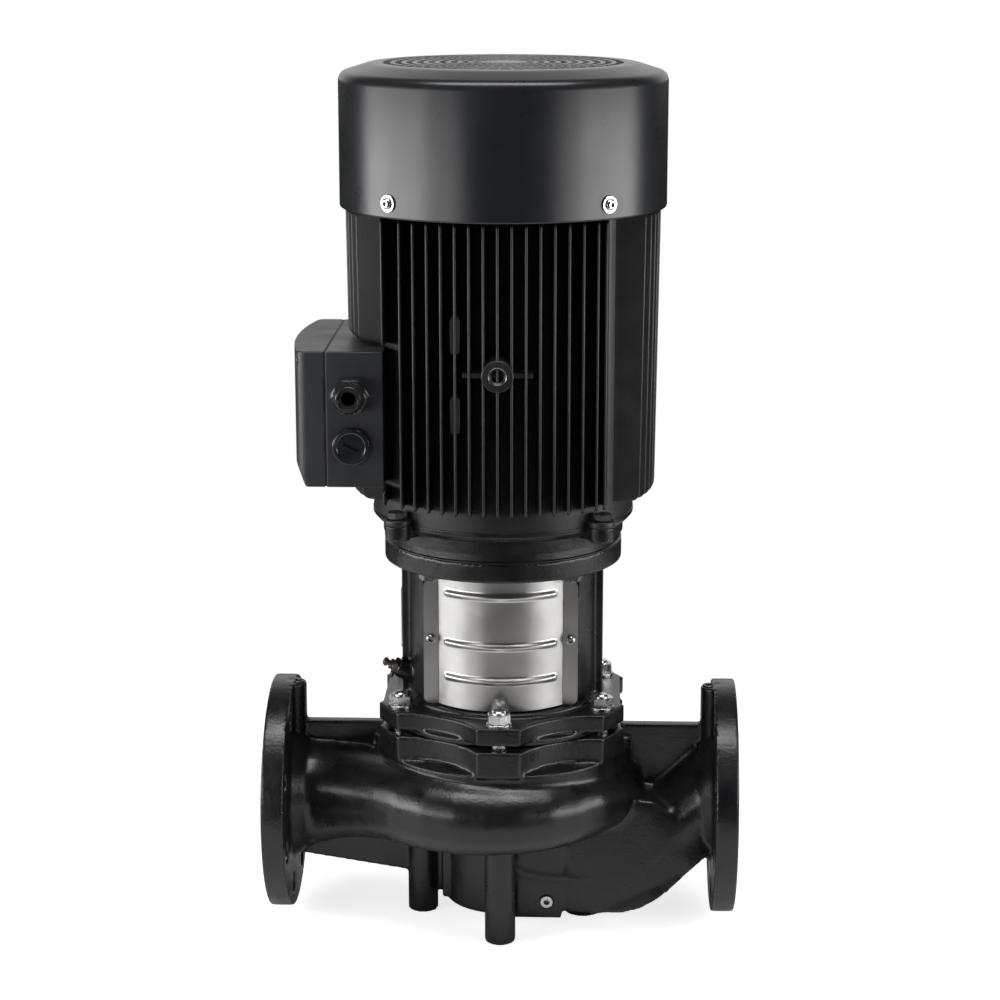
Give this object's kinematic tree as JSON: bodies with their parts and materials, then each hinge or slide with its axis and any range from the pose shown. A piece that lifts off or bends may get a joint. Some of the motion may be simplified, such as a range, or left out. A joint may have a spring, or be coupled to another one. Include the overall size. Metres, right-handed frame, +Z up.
{
  "type": "in-line circulation pump",
  "caption": "Vertical in-line circulation pump: cast scroll casing with two facing flanged ports, stool with coupling guards, and a finned fan-cooled motor with a terminal box on top.",
  "frame": {"origin": "on the floor under the shaft axis, at the bottom centre of the whole part", "axes": "+X along the pipe from the discharge port to the suction port, +Z up the shaft to the fan cover, -Y is the side with the cable gland"},
  "size_m": [0.4, 0.2686, 0.7335],
  "materials": {
    "cast_paint": "gloss black enamel over cast iron grain",
    "motor_paint": "satin black paint on cast aluminium",
    "cover_paint": "satin black powder coat on pressed steel",
    "box_paint": "fine satin black paint",
    "stainless": "brushed stainless sheet",
    "zinc_plate": "bright zinc plated steel",
    "shaft_steel": "turned steel",
    "bronze": "dull bronze",
    "cast_iron_bare": "bare cast iron",
    "lamination": "stacked iron laminations",
    "copper": "varnished copper wire",
    "seal_carbon": "lapped carbon and ceramic",
    "black_rubber": "moulded rubber",
    "black_plastic": "matt moulded plastic",
    "gland_plastic": "gloss moulded plastic"
  },
  "bodies": {
    "casing": {"pump_housing": "cast_paint", "wear_ring": "bronze", "drain_plug": "zinc_plate", "tapping_plugs": "zinc_plate", "seal_seat": "seal_carbon", "head_gasket": "black_rubber", "motor_stool": "cast_paint", "head_bolts": "zinc_plate", "head_washers": "zinc_plate", "vent_body": "bronze", "nameplate": "stainless", "guard_front": "stainless", "guard_rear": "stainless", "guard_screws": "zinc_plate", "drive_end_shield": "motor_paint", "stool_bolts": "zinc_plate", "shield_bolts": "zinc_plate", "motor_frame": "motor_paint", "stator_core": "lamination", "stator_windings": "copper", "lower_bearing_outer": "shaft_steel", "upper_bearing_outer": "shaft_steel", "bearing_spring": "shaft_steel", "fan_end_shield": "motor_paint", "fan_cover": "cover_paint", "fan_cover_screws": "zinc_plate", "terminal_box": "box_paint", "terminal_gasket": "black_rubber", "terminal_cover": "box_paint", "terminal_cover_screws": "zinc_plate", "terminal_board": "black_plastic", "terminal_studs": "bronze", "gland_body": "gland_plastic", "gland_nut": "gland_plastic", "gland_seal": "black_rubber", "blanking_plug": "black_plastic"},
    "rotor": {"impeller": "cast_iron_bare", "impeller_washer": "shaft_steel", "impeller_nut": "shaft_steel", "impeller_key": "shaft_steel", "pump_shaft": "shaft_steel", "seal_rotor": "shaft_steel", "seal_face": "seal_carbon", "coupling_half_front": "shaft_steel", "coupling_half_rear": "shaft_steel", "coupling_screws": "zinc_plate", "coupling_pin": "shaft_steel", "rotor_core": "lamination", "motor_shaft": "shaft_steel", "lower_bearing_inner": "shaft_steel", "upper_bearing_inner": "shaft_steel", "cooling_fan": "black_plastic", "fan_clip": "shaft_steel"},
    "lower_cage": {"lower_bearing_balls": "shaft_steel"},
    "upper_cage": {"upper_bearing_balls": "shaft_steel"},
    "vent_spindle": {"vent_screw": "shaft_steel"}
  },
  "joints": [
    {"name": "rotor_spin", "type": "hinge", "parent": "casing", "child": "rotor", "pos_m": [0, 0, 0.3], "axis": [0, 0, 1], "continuous": true},
    {"name": "lower_cage_spin", "type": "hinge", "parent": "casing", "child": "lower_cage", "pos_m": [0, 0, 0.357], "axis": [0, 0, 1], "continuous": true},
    {"name": "upper_cage_spin", "type": "hinge", "parent": "casing", "child": "upper_cage", "pos_m": [0, 0, 0.634], "axis": [0, 0, 1], "continuous": true},
    {"name": "vent_turn", "type": "hinge", "parent": "casing", "child": "vent_spindle", "pos_m": [-0.085, -0.024, 0.226], "axis": [-0.9135, 0, 0.4067], "range_deg": [0, 720]}
  ],
  "couplings": [
    {"joint": "lower_cage_spin", "follows": "rotor_spin", "ratio": 0.4017},
    {"joint": "upper_cage_spin", "follows": "rotor_spin", "ratio": 0.3974}
  ]
}
